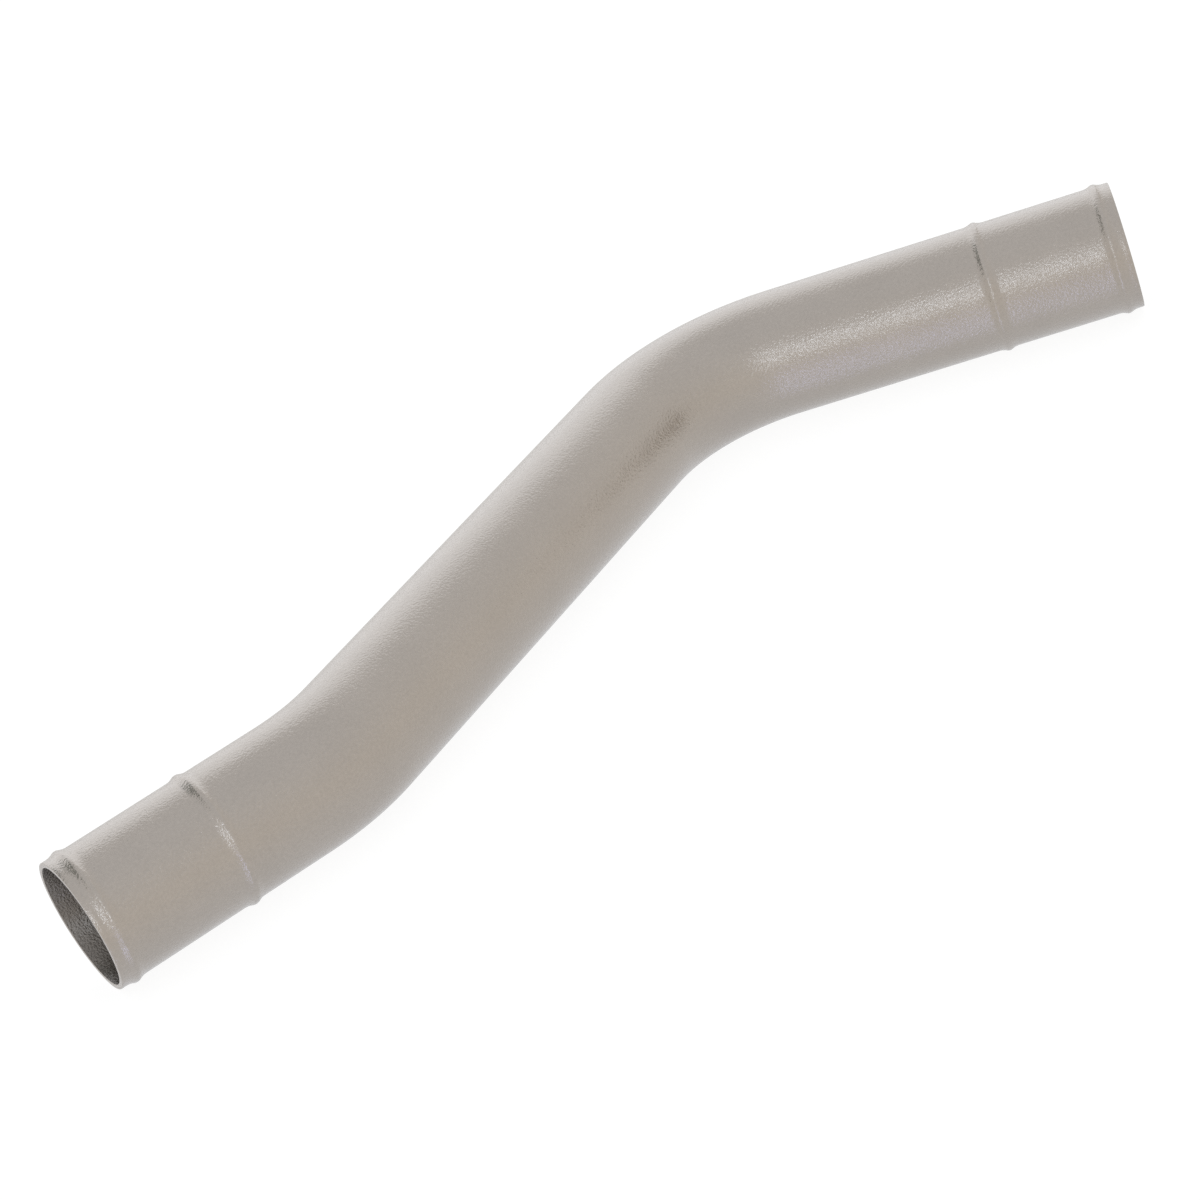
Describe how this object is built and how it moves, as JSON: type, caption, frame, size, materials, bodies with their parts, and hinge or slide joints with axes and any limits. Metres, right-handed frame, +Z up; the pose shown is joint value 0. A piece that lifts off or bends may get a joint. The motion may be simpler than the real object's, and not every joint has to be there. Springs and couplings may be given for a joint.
{
  "type": "charge air cooler tube",
  "caption": "Bent aluminium air tube, round and hollow from mouth to mouth, with a smooth bore and raised beads at both ends that hold clamped hoses.",
  "frame": {"origin": "centre of the near mouth, on the tube's centre line", "axes": "+X along the near end into the tube, +Z up, square to the plane of both bends, +Y to the left, the way the first bend turns"},
  "size_m": [0.7564, 0.2208, 0.079],
  "materials": {
    "aluminium": "blasted satin"
  },
  "bodies": {
    "root": {"charge_air_tube": "aluminium"}
  },
  "joints": []
}
